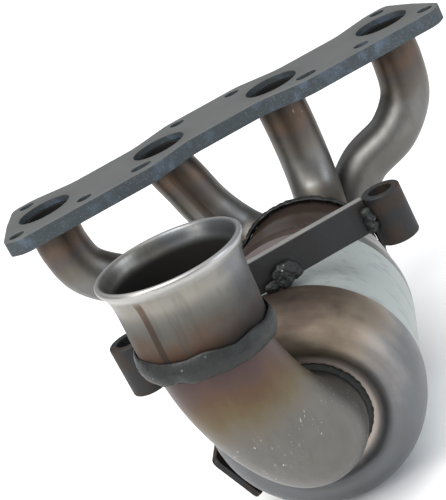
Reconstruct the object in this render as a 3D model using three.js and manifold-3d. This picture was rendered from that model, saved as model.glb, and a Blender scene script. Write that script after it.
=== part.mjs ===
// Exhaust manifold with a close-coupled catalytic converter.
// Frame, millimetres: the origin is the middle of the head flange's sealing face, +X runs
// along the row of ports, +Z is that face's outward normal (towards the cylinder head), and
// the converter hangs on the -Z side with its outlet turned towards -Y and then up along +Z.

import * as THREE from 'three';
import { mergeVertices } from 'three/addons/utils/BufferGeometryUtils.js';
import Module from 'manifold-3d';

const wasm = await Module();
wasm.setup();

// ---- driving dimensions -------------------------------------------------------------

const GAP = 0.3; // clearance kept between welded neighbours
const WALL = 2; // sheet thickness of tubes and pressings

const PORT_PITCH = 86; // spacing of the cylinders
const PORT_RADIUS = 18.5;
const PORT_STEP = 4.5; // depth of the wide mouth, where each runner's end seats
const FLANGE_THICK = 10.5;
const BOLT_RADIUS = 5.25;
const SLOT_HALF = 2; // half the straight part of the two slotted holes
const FRONT_ROW_Y = -25.6;
const BACK_ROW_Y = 30.6;
const FRONT_ROW_X = [61.6, 103.2, 152.2]; // mirrored; the first of them is the slot
const BACK_ROW_X = [21.5, 138.2]; // mirrored

const RUNNER_RADIUS = 16.85;
const RUNNER_WELD = 3; // leg of the bead round each runner under the flange
const CLUSTER_HALF = 18.2; // the four runners stand in a square of twice this side
const SEAT_RADIUS = RUNNER_RADIUS + 0.9; // hole for a runner, with room for its slight lean
const SEAT_STRAIGHT = 12; // last stretch of a runner, square to the plate
const SEAT_DEPTH = 1; // how far a runner reaches in behind the plate's outer face

const CAN_RADIUS = 63.6;
const CAN_LENGTH = 88;
const CAN_SEAM = new THREE.Vector3(-45.4, -165.5, -131.2); // centre of the seam by the outlet dome
const CAN_YAW = 20; // degrees that the can's axis is turned from -Y
const MAT_THICK = 6; // the mat fills the space between the shell and the catalyst
const MAT_SHORT = 8; // the mat ends this far inside each end of the shell
const MONOLITH_SHORT = 6; // and the catalyst this far
const DOME_RADIUS = 65;
const DOME_LAP = 4; // how far the dome's skirt reaches back over the shell
const CREST_RADIUS = 47;
const DOME_CREST = 36; // height of the outlet dome over the seam
const DOME_VALLEY = 30; // height of the dished ring round the elbow
const DISH_RADIUS = [42, 37]; // where the dish leaves the crest and where it turns flat
const DISH_DROP = 1.5; // from the crest to the upper edge of the dish
const INLET_RADIUS = 46;
const INLET_OFFSET = new THREE.Vector3(-6, -140, 16.5); // from the seam, in the can's own frame
const PLATE_THICK = 3; // of the disc that closes the collector round the runners
const SENSOR_AT = new THREE.Vector3(52, -108, 26); // on the cone's -X side, in the can's frame
const SENSOR_LEAN = 20; // degrees that the sensor boss leans from square to the can's axis
const SENSOR_RADIUS = 12.5;
const SENSOR_BORE = 8.25;

const ELBOW_RADIUS = 30.3;
const ELBOW_TOP = new THREE.Vector3(-90.4, -232.5, -42); // where the elbow meets the cup
const CUP_RADIUS = 35;
const LIP_RADIUS = 40;
const CUP_HEIGHT = 48;
const CUP_LEAN = 3; // degrees towards +X
const ELBOW_FOOT = 8; // the elbow starts this far below the dished ring
const ELBOW_STRAIGHT = 5; // and bends from this far above it
const ELBOW_PULL = 43; // reach of the bend's curve at the cup's end
const ELBOW_WELD = 4.2; // leg of the bead round the elbow's foot
const BAND_LEAN = 7; // degrees; the weld band round the cup's foot is not square to it

const BOSS_RADIUS = 11.7;
const BOSS_BORE = 7;
const BOSS_LENGTH = 31;
const BOSS_X = [-124.5, 41.4];
const BOSS_TOP = [-50, -46]; // the left one is set a little lower
const BRACKET_Y = -159;
const STRAP_TOP = -44.6;
const STRAP_HEIGHT = 21;
const STRAP_THICK = 5;
const STRAP_WELD = { x: -30, half: new THREE.Vector3(10, 3, 6) };
const BOSS_BEAD = 2.4; // radius
const SIDE_TILT = 24; // degrees that the side bracket stands below the horizontal
const SIDE_SIZE = { thick: 4, along: 56, across: 36 };
const SIDE_MIDDLE = -12; // along the can's axis, from the outlet seam
const SIDE_STAND = 1.8; // from the shell to the plate, which clears the dome's rim
const SIDE_BEAD = 1.9; // radius
const SIDE_BEAD_LENGTH = 28;
const SIDE_BEAD_MIDDLE = -19; // along the can's axis, from the outlet seam

// ---- materials ----------------------------------------------------------------------

function finish(color, roughness, metalness) {
  return new THREE.MeshStandardMaterial({ color, roughness, metalness });
}

const plateSteel = finish(0x6f7370, 0.6, 0.7);
const stainless = finish(0x9c958b, 0.35, 0.9);
const canSteel = finish(0x9ba39c, 0.55, 0.6);
const domeSteel = finish(0x8a8078, 0.35, 0.9);
const millScale = finish(0x35383a, 0.6, 0.5);
const weldMetal = finish(0x4a4744, 0.55, 0.8);
const ceramic = finish(0xcfc8b8, 0.9, 0.0);
const fibre = finish(0xd9d2c0, 1.0, 0.0);

// ---- helpers ------------------------------------------------------------------------

function toSolid(geometry) {
  const bare = geometry.clone();
  bare.deleteAttribute('normal');
  bare.deleteAttribute('uv');
  const merged = mergeVertices(bare, 1e-3);
  const mesh = new wasm.Mesh({
    numProp: 3,
    vertProperties: new Float32Array(merged.attributes.position.array),
    triVerts: new Uint32Array(merged.index.array),
  });
  return new wasm.Manifold(mesh);
}

function toGeometry(solid) {
  const mesh = solid.getMesh();
  const geometry = new THREE.BufferGeometry();
  geometry.setAttribute('position', new THREE.BufferAttribute(mesh.vertProperties, 3));
  geometry.setIndex(new THREE.BufferAttribute(mesh.triVerts, 1));
  geometry.computeVertexNormals();
  return geometry;
}

function cut(geometry, ...tools) {
  const solid = tools.reduce((body, tool) => body.subtract(toSolid(tool)), toSolid(geometry));
  return toGeometry(solid);
}

function named(name, geometry, material) {
  const mesh = new THREE.Mesh(geometry, material);
  mesh.name = name;
  return mesh;
}

// A body of revolution about the local Y axis from a closed outline of [radius, height].
function turned(outline, segments = 36) {
  const points = outline.map(([radius, height]) => new THREE.Vector2(radius, height));
  if (outline[0][0] > 0) {
    points.push(points[0].clone());
  }
  return new THREE.LatheGeometry(points, segments);
}

// A tube of constant section swept along a curve.
function swept(curve, radius, steps, sides) {
  const section = new THREE.Shape();
  for (let i = 0; i < sides; i += 1) {
    const angle = (i / sides) * 2 * Math.PI;
    const place = [radius * Math.cos(angle), radius * Math.sin(angle)];
    if (i === 0) {
      section.moveTo(...place);
    } else {
      section.lineTo(...place);
    }
  }
  section.closePath();
  return new THREE.ExtrudeGeometry(section, { steps, extrudePath: curve });
}

// A curve with a short straight stretch added at each end, so that a bore cuts right through.
function lengthened(curve, extra) {
  const [start, end] = [curve.getPointAt(0), curve.getPointAt(1)];
  const path = new THREE.CurvePath();
  path.add(new THREE.LineCurve3(start.clone().addScaledVector(curve.getTangentAt(0), -extra), start));
  path.add(curve);
  path.add(new THREE.LineCurve3(end, end.clone().addScaledVector(curve.getTangentAt(1), extra)));
  return path;
}

function pipe(curve, radius, steps, sides) {
  const outer = swept(curve, radius, steps, sides);
  const bore = swept(lengthened(curve, 2), radius - WALL, steps + 4, sides);
  return cut(outer, bore);
}

// A cylinder with its axis along Z.
function upright(radius, height, x, y, top, sides = 14) {
  const geometry = new THREE.CylinderGeometry(radius, radius, height, sides);
  geometry.rotateX(Math.PI / 2);
  geometry.translate(x, y, top - height / 2);
  return geometry;
}

// An outline through the given corners, each rounded with its own radius.
function roundedShape(corners) {
  const shape = new THREE.Shape();
  const count = corners.length;
  corners.forEach(([x, y, radius], i) => {
    const corner = new THREE.Vector2(x, y);
    const [px, py] = corners[(i + count - 1) % count];
    const [nx, ny] = corners[(i + 1) % count];
    const start = new THREE.Vector2(px, py).sub(corner).setLength(radius).add(corner);
    const end = new THREE.Vector2(nx, ny).sub(corner).setLength(radius).add(corner);
    if (i === 0) {
      shape.moveTo(start.x, start.y);
    } else {
      shape.lineTo(start.x, start.y);
    }
    shape.quadraticCurveTo(x, y, end.x, end.y);
  });
  shape.closePath();
  return shape;
}

// ---- head flange --------------------------------------------------------------------

const portX = [-1.5, -0.5, 0.5, 1.5].map((n) => n * PORT_PITCH);

// The right half of the plate's outline from the front edge round to the back edge.
// Each corner is x, y and the length of edge that its rounding takes.
function flangeShape() {
  const right = [
    [28, -25, 8],
    [56, -38, 8],
    [153, -38, 8],
    [162, -28, 4],
    [156, 8, 6],
    [148, 39, 8],
    [132, 39, 8],
    [104, 27.5, 8],
    [56, 28, 8],
    [28, 41, 6],
  ];
  const left = right.map(([x, y, radius]) => [-x, y, radius]).reverse();
  return roundedShape([...right, ...left]);
}

function headFlange() {
  const plate = new THREE.ExtrudeGeometry(flangeShape(), {
    depth: FLANGE_THICK,
    bevelEnabled: false,
    curveSegments: 3,
  });
  plate.translate(0, 0, -FLANGE_THICK);
  const through = FLANGE_THICK + 2;
  const tools = [];
  for (const x of portX) {
    tools.push(upright(PORT_RADIUS, PORT_STEP + 1, x, 0, 1, 24));
    tools.push(upright(RUNNER_RADIUS + GAP, through, x, 0, 1, 24));
  }
  for (const side of [-1, 1]) {
    for (const x of BACK_ROW_X) {
      tools.push(upright(BOLT_RADIUS, through, side * x, BACK_ROW_Y, 1));
    }
    FRONT_ROW_X.forEach((x, i) => {
      tools.push(upright(BOLT_RADIUS, through, side * x, FRONT_ROW_Y, 1));
      if (i === 0) {
        tools.push(upright(BOLT_RADIUS, through, side * x - SLOT_HALF, FRONT_ROW_Y, 1));
        tools.push(upright(BOLT_RADIUS, through, side * x + SLOT_HALF, FRONT_ROW_Y, 1));
      }
    });
  }
  return named('head_flange', cut(plate, ...tools), plateSteel);
}

// ---- the can's frame: local +Y runs along its axis to the outlet, local +Z stays up ----

const can = new THREE.Group();
can.position.copy(CAN_SEAM);
can.rotation.z = THREE.MathUtils.degToRad(180 - CAN_YAW);
can.updateMatrixWorld();

function fromCan(x, y, z) {
  return can.localToWorld(new THREE.Vector3(x, y, z));
}

// ---- runners ------------------------------------------------------------------------

// The middle of a runner's seat in the collector, or a point so far back along its axis.
// side is +1 for the pair on the +X side, and level is +1 for the upper pair.
function seatOf(side, level, back) {
  return fromCan(
    INLET_OFFSET.x - side * CLUSTER_HALF,
    INLET_OFFSET.y - back,
    INLET_OFFSET.z + level * CLUSTER_HALF,
  );
}

// Each route starts in its port, follows hand-set points and ends square in the collector.
const runnerRoutes = [
  {
    side: -1,
    level: -1,
    way: [[-129, 0, -30], [-124, 0, -50], [-102, 2, -72], [-66, 10, -96], [-34, 13, -120], [-12, 3, -131]],
  },
  { side: -1, level: 1, way: [[-38, 0, -32], [-31, 1, -56], [-19, -1, -80]] },
  { side: 1, level: 1, way: [[43, 0, -34], [42, 0, -58], [38, -8, -80]] },
  {
    side: 1,
    level: -1,
    way: [[129, 0, -28], [124, 0, -52], [106, 0, -71], [78, 6, -84], [52, 9, -112], [37, -7, -129]],
  },
];

function runnerPath({ side, level, way }, x) {
  return new THREE.CatmullRomCurve3([
    new THREE.Vector3(x, 0, -PORT_STEP),
    new THREE.Vector3(x, 0, -FLANGE_THICK - RUNNER_WELD),
    ...way.map(([px, py, pz]) => new THREE.Vector3(px, py, pz)),
    seatOf(side, level, SEAT_STRAIGHT),
    seatOf(side, level, -SEAT_DEPTH),
  ]);
}

function runner(route, i) {
  const geometry = pipe(runnerPath(route, portX[i]), RUNNER_RADIUS, 18, 14);
  return named(`runner_${i + 1}`, geometry, stainless);
}

// ---- weld beads ---------------------------------------------------------------------

// A fillet of weld metal lying in the corner between a tube and a face at height 0.
function filletRing(radius, size, segments = 24) {
  return turned([
    [radius + GAP, GAP],
    [radius + size, GAP],
    [radius + size * 0.7, size * 0.6],
    [radius + GAP, size],
  ], segments);
}

function runnerWeld(x, i) {
  const geometry = filletRing(RUNNER_RADIUS + GAP, RUNNER_WELD);
  const weld = named(`runner_weld_${i + 1}`, geometry, weldMetal);
  weld.position.set(x, 0, -FLANGE_THICK);
  weld.rotation.x = -Math.PI / 2;
  return weld;
}

// ---- collector ----------------------------------------------------------------------

// A turned shape whose axis leans, so that its upper circle is shifted off its lower one.
function sheared(geometry, from, to) {
  const run = to.y - from.y;
  const lean = new THREE.Matrix4().set(
    1, (to.x - from.x) / run, 0, from.x - (from.y * (to.x - from.x)) / run,
    0, 1, 0, 0,
    0, (to.z - from.z) / run, 1, from.z - (from.y * (to.z - from.z)) / run,
    0, 0, 0, 1,
  );
  return geometry.applyMatrix4(lean);
}

const CONE_END = new THREE.Vector3(0, -CAN_LENGTH - 2 * GAP, 0); // where the cone meets the can

// The cone's outline drawn in by inset, and run past both of its ends.
function coneBody(inset, run) {
  return turned([
    [0, INLET_OFFSET.y - run],
    [INLET_RADIUS - inset, INLET_OFFSET.y - run],
    [INLET_RADIUS + 2 - inset, INLET_OFFSET.y + 10],
    [INLET_RADIUS + 9 - inset, INLET_OFFSET.y + 24],
    [CAN_RADIUS - 4 - inset, CONE_END.y - 14],
    [CAN_RADIUS - inset, CONE_END.y - 5],
    [CAN_RADIUS - inset, CONE_END.y + run],
    [0, CONE_END.y + run],
  ]);
}

function sensorTool(radius, from, to) {
  const geometry = new THREE.CylinderGeometry(radius, radius, to - from, 20);
  geometry.translate(0, (from + to) / 2, 0);
  geometry.rotateZ(THREE.MathUtils.degToRad(SENSOR_LEAN - 90));
  geometry.translate(SENSOR_AT.x, SENSOR_AT.y, SENSOR_AT.z);
  return geometry;
}

function collectorCone() {
  const outer = sheared(coneBody(0, 0), CONE_END, INLET_OFFSET);
  const inner = sheared(coneBody(WALL, 1), CONE_END, INLET_OFFSET);
  const hole = sensorTool(SENSOR_BORE + GAP, -20, 20);
  return named('collector_cone', cut(outer, inner, hole), stainless);
}

// The end of the collector: a disc over its mouth, with a hole for each of the four runners.
function collectorPlate() {
  const plate = new THREE.CylinderGeometry(INLET_RADIUS, INLET_RADIUS, PLATE_THICK, 36);
  const height = INLET_OFFSET.y - GAP - PLATE_THICK / 2;
  plate.translate(INLET_OFFSET.x, height, INLET_OFFSET.z);
  const holes = [];
  for (const side of [-1, 1]) {
    for (const level of [-1, 1]) {
      const hole = new THREE.CylinderGeometry(SEAT_RADIUS, SEAT_RADIUS, 20, 20);
      hole.translate(
        INLET_OFFSET.x - side * CLUSTER_HALF,
        height,
        INLET_OFFSET.z + level * CLUSTER_HALF,
      );
      holes.push(hole);
    }
  }
  return named('collector_plate', cut(plate, ...holes), stainless);
}

function collectorWeld() {
  const geometry = turned([
    [INLET_RADIUS + GAP, -PLATE_THICK],
    [INLET_RADIUS + 2.6, -PLATE_THICK - 0.5],
    [INLET_RADIUS + 3.8, -0.5],
    [INLET_RADIUS + 3.2, 2.2],
    [INLET_RADIUS + 2.4, 2.2],
    [INLET_RADIUS + GAP, -0.2],
  ], 36);
  geometry.translate(INLET_OFFSET.x, INLET_OFFSET.y, INLET_OFFSET.z);
  return named('collector_weld', geometry, weldMetal);
}

function sensorBoss() {
  const around = sheared(coneBody(-GAP, 1), CONE_END, INLET_OFFSET);
  const bore = sensorTool(SENSOR_BORE, -20, 20);
  const geometry = cut(sensorTool(SENSOR_RADIUS, -12, 13), around, bore);
  return named('sensor_boss', geometry, millScale);
}

// ---- converter can ------------------------------------------------------------------

function hollowDrum(outer, inner, from, to) {
  return turned([[outer, from], [outer, to], [inner, to], [inner, from]], 40);
}

function converterShell() {
  const geometry = hollowDrum(CAN_RADIUS, CAN_RADIUS - WALL, -CAN_LENGTH, 0);
  return named('converter_shell', geometry, canSteel);
}

function supportMat() {
  const outer = CAN_RADIUS - WALL - GAP;
  const geometry = hollowDrum(outer, outer - MAT_THICK, MAT_SHORT - CAN_LENGTH, -MAT_SHORT);
  return named('support_mat', geometry, fibre);
}

function catalystMonolith() {
  const radius = CAN_RADIUS - WALL - MAT_THICK - 2 * GAP;
  const length = CAN_LENGTH - 2 * MONOLITH_SHORT;
  const geometry = new THREE.CylinderGeometry(radius, radius, length, 40);
  geometry.translate(0, -CAN_LENGTH / 2, 0);
  return named('catalyst_monolith', geometry, ceramic);
}

// The outlet end cap laps over the shell, rounds over its shoulder to a crest, and dishes
// back in to the hole for the elbow.
function outletDome() {
  const thin = DOME_RADIUS - CAN_RADIUS - GAP;
  const outer = [[DOME_RADIUS, -DOME_LAP], [DOME_RADIUS, 0]];
  const inner = [[DOME_RADIUS - thin, -DOME_LAP], [DOME_RADIUS - thin, 0]];
  for (let i = 1; i <= 5; i += 1) {
    const angle = (i / 5) * (Math.PI / 2);
    const sweep = (DOME_RADIUS - CREST_RADIUS) * (1 - Math.cos(angle));
    const height = DOME_CREST * Math.sin(angle);
    outer.push([DOME_RADIUS - sweep, height]);
    inner.push([DOME_RADIUS - thin - sweep, height - thin * (i / 5)]);
  }
  const dish = [
    [DISH_RADIUS[0], DOME_CREST - DISH_DROP],
    [DISH_RADIUS[1], DOME_VALLEY],
    [ELBOW_RADIUS + GAP, DOME_VALLEY],
  ];
  const back = dish.map(([radius, height]) => [radius, height - thin]).reverse();
  const geometry = turned([...outer, ...dish, ...back, ...inner.reverse()], 32);
  return named('outlet_dome', geometry, domeSteel);
}

// ---- outlet elbow and cup -----------------------------------------------------------

const cupUp = new THREE.Vector3(0, 0, 1);
cupUp.applyAxisAngle(new THREE.Vector3(0, 1, 0), THREE.MathUtils.degToRad(CUP_LEAN));

// Straight out of the dome, round the bend, and straight into the cup.
function elbowPath() {
  const foot = fromCan(0, DOME_VALLEY - ELBOW_FOOT, 0);
  const start = fromCan(0, DOME_VALLEY + ELBOW_STRAIGHT, 0);
  const pull = fromCan(-5, DOME_VALLEY + 42, 0);
  const bend = new THREE.CubicBezierCurve3(
    start,
    pull,
    ELBOW_TOP.clone().addScaledVector(cupUp, -ELBOW_PULL),
    ELBOW_TOP,
  );
  const path = new THREE.CurvePath();
  path.add(new THREE.LineCurve3(foot, start));
  path.add(bend);
  path.add(new THREE.LineCurve3(ELBOW_TOP, ELBOW_TOP.clone().addScaledVector(cupUp, 8)));
  return path;
}

function outletElbow() {
  return named('outlet_elbow', pipe(elbowPath(), ELBOW_RADIUS, 12, 18), stainless);
}

function elbowWeld() {
  const geometry = filletRing(ELBOW_RADIUS + GAP, ELBOW_WELD, 28);
  geometry.translate(0, DOME_VALLEY, 0);
  return named('elbow_weld', geometry, weldMetal);
}

function outletCup() {
  const geometry = turned([
    [CUP_RADIUS - 0.5, 0],
    [CUP_RADIUS, CUP_HEIGHT - 24],
    [CUP_RADIUS + 0.8, CUP_HEIGHT - 12],
    [LIP_RADIUS - 2, CUP_HEIGHT - 6],
    [LIP_RADIUS - 0.2, CUP_HEIGHT - 2.5],
    [LIP_RADIUS, CUP_HEIGHT - 1],
    [LIP_RADIUS - 0.5, CUP_HEIGHT],
    [LIP_RADIUS - 2, CUP_HEIGHT],
    [LIP_RADIUS - 3.8, CUP_HEIGHT - 5],
    [CUP_RADIUS - 1.2, CUP_HEIGHT - 12],
    [CUP_RADIUS - WALL, CUP_HEIGHT - 24],
    [CUP_RADIUS - WALL - 0.5, 0],
  ], 36);
  return named('outlet_cup', geometry, stainless);
}

// The wide weld that covers the cup's foot and the elbow's end.
function cupWeld() {
  const clear = ELBOW_RADIUS + 2;
  const geometry = turned([
    [clear, -8],
    [CUP_RADIUS + 1.5, -5],
    [CUP_RADIUS + 3, 0],
    [CUP_RADIUS + 2.4, 4],
    [CUP_RADIUS + 0.8, 5],
    [CUP_RADIUS + 0.8, -3.2],
    [clear, -3.2],
  ], 36);
  const weld = named('cup_weld', geometry, weldMetal);
  weld.rotation.z = -THREE.MathUtils.degToRad(BAND_LEAN - CUP_LEAN);
  return weld;
}

const outlet = new THREE.Group();
outlet.position.copy(ELBOW_TOP);
outlet.rotation.y = THREE.MathUtils.degToRad(CUP_LEAN);
const outletTurned = new THREE.Group();
outletTurned.rotation.x = Math.PI / 2;
outletTurned.add(outletCup(), cupWeld());
outlet.add(outletTurned);

// ---- mounting bracket: a bar across the can with a boss at each end -----------------

function supportStrap() {
  const length = BOSS_X[1] - BOSS_X[0] - 2 * (BOSS_RADIUS + GAP);
  const geometry = new THREE.BoxGeometry(length, STRAP_THICK, STRAP_HEIGHT);
  const strap = named('support_strap', geometry, millScale);
  strap.position.set((BOSS_X[0] + BOSS_X[1]) / 2, BRACKET_Y, STRAP_TOP - STRAP_HEIGHT / 2);
  return strap;
}

function boss(name, i) {
  const outer = upright(BOSS_RADIUS, BOSS_LENGTH, BOSS_X[i], BRACKET_Y, BOSS_TOP[i], 24);
  const bore = upright(BOSS_BORE, BOSS_LENGTH + 4, BOSS_X[i], BRACKET_Y, BOSS_TOP[i] + 2, 20);
  return named(name, cut(outer, bore), millScale);
}

// A bead standing in the corner between the strap's face and a boss.
function bossWeld(name, i) {
  const out = STRAP_THICK / 2 + GAP + BOSS_BEAD;
  const away = Math.sqrt((BOSS_RADIUS + GAP + BOSS_BEAD) ** 2 - out ** 2);
  const x = i === 0 ? BOSS_X[i] + away : BOSS_X[i] - away;
  const geometry = upright(BOSS_BEAD, STRAP_HEIGHT - 7, x, BRACKET_Y - out, STRAP_TOP - 6, 10);
  return named(name, geometry, weldMetal);
}

// The lump of weld that ties the strap to the can.
function strapWeld() {
  const weld = named('strap_weld', new THREE.SphereGeometry(1, 14, 10), weldMetal);
  const { x, half } = STRAP_WELD;
  const y = BRACKET_Y - STRAP_THICK / 2 - GAP - half.y;
  weld.scale.copy(half);
  weld.position.set(x, y, STRAP_TOP - STRAP_HEIGHT + half.z - 0.5);
  return weld;
}

// ---- side bracket: a flat plate on the can's -X side, which runs out past the seam ---

function sideBracket() {
  const geometry = new THREE.BoxGeometry(SIDE_SIZE.thick, SIDE_SIZE.along, SIDE_SIZE.across);
  const plate = named('side_bracket', geometry, millScale);
  plate.position.set(CAN_RADIUS + SIDE_STAND + SIDE_SIZE.thick / 2, SIDE_MIDDLE, 0);
  return plate;
}

// A bead under the plate's lower edge, in the wedge between its inner face and the can.
function sideWeld() {
  const reach = CAN_RADIUS + SIDE_STAND - GAP - SIDE_BEAD;
  const down = -Math.sqrt((CAN_RADIUS + GAP + SIDE_BEAD) ** 2 - reach ** 2);
  const bead = new THREE.CylinderGeometry(SIDE_BEAD, SIDE_BEAD, SIDE_BEAD_LENGTH, 10);
  const weld = named('side_weld', bead, weldMetal);
  weld.position.set(reach, SIDE_BEAD_MIDDLE, down);
  return weld;
}

const side = new THREE.Group();
side.rotation.y = THREE.MathUtils.degToRad(SIDE_TILT);
side.add(sideBracket(), sideWeld());

// ---- assembly -----------------------------------------------------------------------

can.add(collectorCone(), collectorPlate(), collectorWeld(), sensorBoss());
can.add(converterShell(), supportMat(), catalystMonolith(), outletDome(), elbowWeld(), side);

const manifold = new THREE.Group();
manifold.add(headFlange(), can, outletElbow(), outlet, supportStrap(), strapWeld());
runnerRoutes.forEach((route, i) => manifold.add(runner(route, i)));
portX.forEach((x, i) => manifold.add(runnerWeld(x, i)));
manifold.add(boss('boss_left', 0), boss('boss_right', 1));
manifold.add(bossWeld('boss_weld_left', 0), bossWeld('boss_weld_right', 1));

export default manifold;
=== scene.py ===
# %% [markdown]
# # A welded exhaust manifold with its converter can
#
# Four bent tubes carry the exhaust from a thick flange on the cylinder head into a collector.
# The collector opens into a can that holds the catalyst. An elbow with a flared cup takes the
# gas on to the pipe under the car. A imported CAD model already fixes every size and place, so
# this script loads it first and makes each visible piece around it, in metres.

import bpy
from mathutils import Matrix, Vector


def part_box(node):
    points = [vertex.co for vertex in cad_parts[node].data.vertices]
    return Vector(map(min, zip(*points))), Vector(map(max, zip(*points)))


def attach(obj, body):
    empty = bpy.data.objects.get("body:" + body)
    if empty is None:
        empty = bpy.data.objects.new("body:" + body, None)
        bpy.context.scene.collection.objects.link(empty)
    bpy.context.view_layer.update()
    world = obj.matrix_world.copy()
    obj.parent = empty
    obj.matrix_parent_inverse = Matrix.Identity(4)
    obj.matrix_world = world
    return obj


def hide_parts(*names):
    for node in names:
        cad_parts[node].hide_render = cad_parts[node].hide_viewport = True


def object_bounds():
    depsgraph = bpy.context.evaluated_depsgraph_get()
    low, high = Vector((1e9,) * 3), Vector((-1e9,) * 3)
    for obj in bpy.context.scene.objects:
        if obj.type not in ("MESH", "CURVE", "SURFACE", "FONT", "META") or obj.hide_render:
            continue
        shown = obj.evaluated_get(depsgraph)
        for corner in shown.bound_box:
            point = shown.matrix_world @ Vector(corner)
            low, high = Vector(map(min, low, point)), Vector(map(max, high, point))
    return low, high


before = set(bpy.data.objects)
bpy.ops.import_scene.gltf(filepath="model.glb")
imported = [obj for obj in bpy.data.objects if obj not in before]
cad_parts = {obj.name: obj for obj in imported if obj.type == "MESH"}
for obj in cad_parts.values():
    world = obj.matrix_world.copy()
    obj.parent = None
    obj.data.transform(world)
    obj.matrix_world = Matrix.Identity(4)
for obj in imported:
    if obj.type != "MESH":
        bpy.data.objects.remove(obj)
cad_box = [list(corner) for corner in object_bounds()]

import math

import bmesh
import bpy
from bmesh.types import BMEdge, BMVert
from mathutils import Matrix, Vector, noise
from mathutils.geometry import interpolate_bezier

MM = 0.001
print("CAD nodes:", len(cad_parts))
print("CAD box:", cad_box)

# %% [markdown]
# ## Four small tools
# Lights, pieces and cutters all enter the scene in the same way, a bmesh always becomes a mesh in
# the same way, and a modifier's result is always kept in the same way, so each is written once.

# %% Put things into the scene
def placed(name, data):
    """An object made from its data and linked into the scene."""
    made = bpy.data.objects.new(name, data)
    bpy.context.scene.collection.objects.link(made)
    return made


def meshed(name, bm):
    """A mesh made from a bmesh, which is then freed."""
    mesh = bpy.data.meshes.new(name)
    bm.to_mesh(mesh)
    bm.free()
    return mesh


def applied(item):
    """A new mesh that keeps the result of the item's modifiers."""
    graph = bpy.context.evaluated_depsgraph_get()
    return bpy.data.meshes.new_from_object(item.evaluated_get(graph))


def only(items, kind):
    """The corners or the edges among what an extrusion returns."""
    return [item for item in items if isinstance(item, kind)]


# %% [markdown]
# ## The view
# The outlet side shows every kind of piece at once: the plate's face, the tubes, the bracket, the
# can and the cup. A long lens from a little above keeps the circles honest, and the camera is
# rolled so that the row of ports runs up to the right, as a part lies when it is held in a hand.

# %% Set up the camera
camera_data = bpy.data.cameras.new("camera")
camera_data.lens = 98.54
camera = placed("camera", camera_data)
camera.location = (-0.13082, -0.87857, 0.21229)
camera.rotation_euler = [math.radians(angle) for angle in (69.196, 25.977, -15.557)]
bpy.context.scene.camera = camera
print("camera stands", round(camera.location.length, 3), "m from the flange")

# %% [markdown]
# ## Writing shaders as arithmetic
# A surface pattern is mostly arithmetic on positions and noise. The Value class wraps a node's
# socket, so that a plus or a times sign adds the Math node. The Shader class adds any other node
# by its type, its settings and its inputs, and a Finish is a Shader with a surface to feed.
# Patterns read Object coordinates: every object sits at the origin, so these are simply metres
# in the model's frame.

# %% A socket that can be added and multiplied
class Value:
    def __init__(self, shader, socket):
        self.shader = shader
        self.socket = socket

    def math(self, operation, first, second):
        return self.shader.node("ShaderNodeMath", {"operation": operation}, {0: first, 1: second})

    def __add__(self, other):
        return self.math("ADD", self, other)

    __radd__ = __add__

    def __sub__(self, other):
        return self.math("SUBTRACT", self, other)

    def __rsub__(self, other):
        return self.math("SUBTRACT", other, self)

    def __mul__(self, other):
        return self.math("MULTIPLY", self, other)

    __rmul__ = __mul__

    def __truediv__(self, other):
        return self.math("DIVIDE", self, other)

    def __pow__(self, other):
        return self.math("POWER", self, other)

    def __abs__(self):
        return self.math("ABSOLUTE", self, 0)


# %% A node tree that is built up node by node
class Shader:
    def __init__(self, tree):
        self.tree = tree

    def node(self, kind, settings, sockets, output=0):
        """Add a node, set it up, and feed each named or numbered input a value or a link."""
        made = self.tree.nodes.new(kind)
        for key, value in settings.items():
            if key == "stops":
                self.set_stops(made.color_ramp, value)
            else:
                setattr(made, key, value)
        for key, value in sockets.items():
            if isinstance(value, Value):
                self.tree.links.new(value.socket, made.inputs[key])
            else:
                made.inputs[key].default_value = value
        return Value(self, made.outputs[output])

    def set_stops(self, ramp, stops):
        while len(ramp.elements) < len(stops):
            ramp.elements.new(1)
        for element, (position, colour) in zip(ramp.elements, stops):
            element.position = position
            element.color = (*colour, 1)

    def parts(self, vector):
        """The x, y and z of a vector."""
        first = self.node("ShaderNodeSeparateXYZ", {}, {0: vector})
        outputs = first.socket.node.outputs
        return [Value(self, output) for output in outputs]

    def ramp(self, value, stops):
        return self.node("ShaderNodeValToRGB", {"stops": stops}, {0: value}, "Color")

    def mix(self, share, first, second):
        """First where share is 0 and second where it is 1."""
        colours = [c if isinstance(c, Value) else (*c, 1) for c in (first, second)]
        sockets = {0: share, 6: colours[0], 7: colours[1]}
        return self.node("ShaderNodeMix", {"data_type": "RGBA"}, sockets, 2)

    def layers(self, colour, *coats):
        """Lay coats over a colour, each with its share and its own colour."""
        for share, coat in coats:
            colour = self.mix(share, colour, coat)
        return colour


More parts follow.
